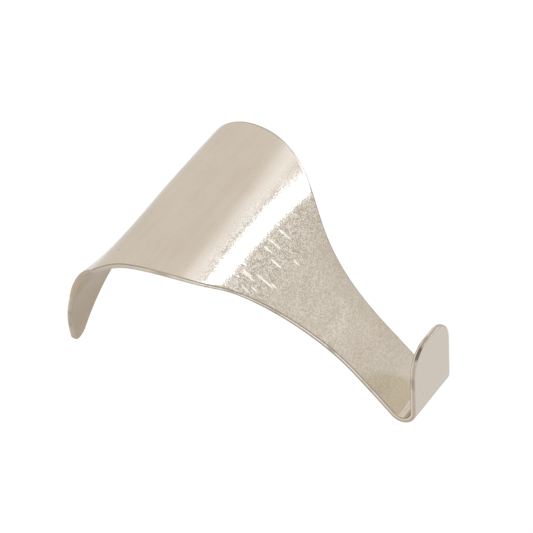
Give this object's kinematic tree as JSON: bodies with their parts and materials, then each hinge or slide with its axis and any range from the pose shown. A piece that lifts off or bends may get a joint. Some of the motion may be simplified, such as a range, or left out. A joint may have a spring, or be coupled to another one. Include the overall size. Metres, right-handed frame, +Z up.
{
  "type": "picture rail hook",
  "caption": "Sheet-metal hook with a broad arched crown that saddles a picture rail, a waisted shank and an upturned lip for a wire or ring.",
  "frame": {"origin": "the highest point of the underside of the crown, midway across the hook, where it bears on the top of the picture rail", "axes": "+Z up as the hook hangs, -Y towards the room, where the lip is, +Y towards the wall, where the tongue is, +X across the hook"},
  "size_m": [0.04, 0.0581, 0.0506],
  "materials": {
    "nickel_plate": "satin nickel plate on mild steel, with a fine grain and light scratches"
  },
  "bodies": {
    "root": {"hook_plate": "nickel_plate"}
  },
  "joints": []
}
